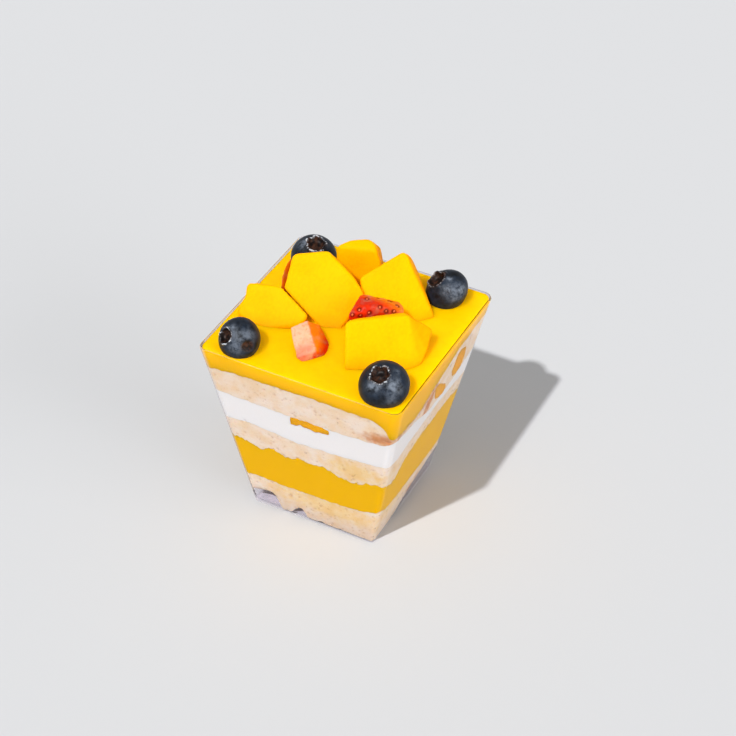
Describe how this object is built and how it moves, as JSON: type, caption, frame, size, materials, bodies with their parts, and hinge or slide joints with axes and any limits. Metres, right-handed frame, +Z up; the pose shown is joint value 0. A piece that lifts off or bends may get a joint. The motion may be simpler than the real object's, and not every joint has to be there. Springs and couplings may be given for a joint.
{
  "type": "mini cake in a clear cup",
  "caption": "Mango mini cake layered in a clear square tapered cup: sponge, mango puree and whipped cream, topped with mango dice, strawberry pieces and blueberries",
  "frame": {"origin": "middle of the cup's base on the table", "axes": "+Z up, the cup's faces look along +X, -X, +Y and -Y, the front is -Y"},
  "size_m": [0.065, 0.065, 0.0795],
  "materials": {
    "clear_plastic": "clear injection moulded polystyrene, glossy",
    "sponge": "pale vanilla sponge cake, fine open crumb, matt",
    "mango_puree": "smooth mango puree, wet and glossy",
    "whipped_cream": "whipped cream, soft satin white",
    "mango": "fresh cut mango, moist",
    "strawberry": "fresh strawberry, red skin with seeds and paler cut flesh, moist",
    "blueberry": "fresh blueberry, dark blue skin under a pale waxy bloom"
  },
  "bodies": {
    "root": {"cup": "clear_plastic", "sponge_bottom": "sponge", "puree_lower": "mango_puree", "sponge_middle": "sponge", "cream": "whipped_cream", "sponge_top": "sponge", "puree_top": "mango_puree", "mango_chip_front": "mango", "mango_chip_right": "mango", "mango_chip_far_right": "mango", "mango_chip_back": "mango", "mango_chip_left": "mango", "mango_left": "mango", "mango_middle": "mango", "mango_right": "mango", "mango_behind": "mango", "mango_back": "mango", "strawberry_middle": "strawberry", "strawberry_front": "strawberry", "strawberry_left": "strawberry", "blueberry_left": "blueberry", "blueberry_front": "blueberry", "blueberry_right": "blueberry", "blueberry_back": "blueberry"}
  },
  "joints": []
}
